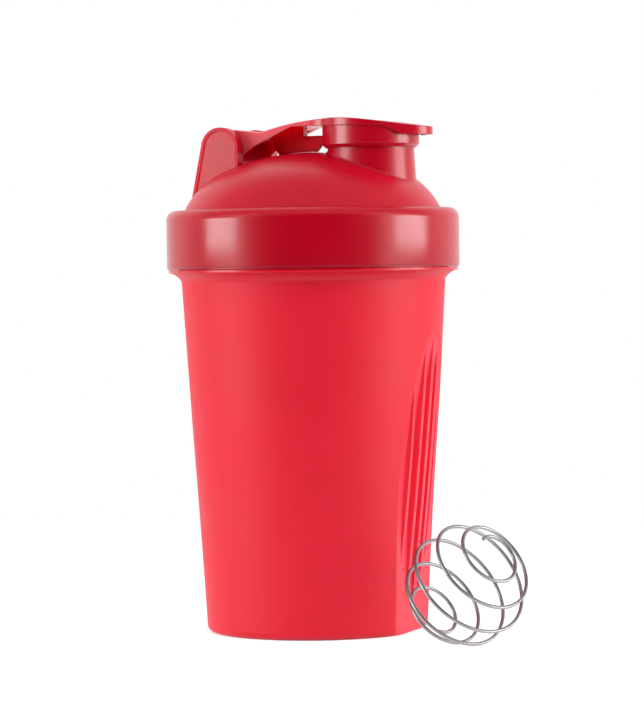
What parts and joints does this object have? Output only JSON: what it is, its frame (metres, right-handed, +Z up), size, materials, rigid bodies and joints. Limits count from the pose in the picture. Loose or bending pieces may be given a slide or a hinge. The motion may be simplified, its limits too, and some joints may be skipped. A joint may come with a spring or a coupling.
{
  "type": "protein shaker bottle",
  "caption": "Screw-lidded conical shaker cup with ribbed grip flats, a domed lid with drinking spout, a hinged flip cap and a loose wire whisk ball.",
  "frame": {"origin": "centre of the cup's flat foot, on the surface it stands on", "axes": "+Z up along the cup's axis, +X towards the spout, -X towards the flip cap's hinge"},
  "size_m": [0.1281, 0.0936, 0.1629],
  "materials": {
    "cup_plastic": "red polypropylene, satin gloss",
    "lid_plastic": "red polypropylene, satin gloss",
    "cap_plastic": "red polypropylene, satin gloss",
    "seal_rubber": "milky silicone",
    "wire_steel": "polished stainless steel wire"
  },
  "bodies": {
    "cup": {"cup": "cup_plastic"},
    "seal": {"lid_seal_ring": "seal_rubber"},
    "lid": {"lid": "lid_plastic"},
    "cap": {"flip_cap": "cap_plastic"},
    "ball": {"whisk_ball": "wire_steel"}
  },
  "joints": [
    {"name": "lid_rise", "type": "slide", "parent": "cup", "child": "seal", "axis": [0, 0, 1], "range_m": [0, 0.005]},
    {"name": "lid_turn", "type": "hinge", "parent": "seal", "child": "lid", "pos_m": [0, 0, 0.1306], "axis": [0, 0, 1], "range_deg": [0, 450]},
    {"name": "cap_hinge", "type": "hinge", "parent": "lid", "child": "cap", "pos_m": [-0.0257, 0, 0.1545], "axis": [0, -1, 0], "range_deg": [0, 200]},
    {"name": "ball_lift", "type": "slide", "parent": "cup", "child": "ball", "axis": [0, 0, 1], "range_m": [0, 0.15]}
  ],
  "couplings": [
    {"joint": "lid_rise", "follows": "lid_turn", "m_per_rad": 0.00063662}
  ]
}
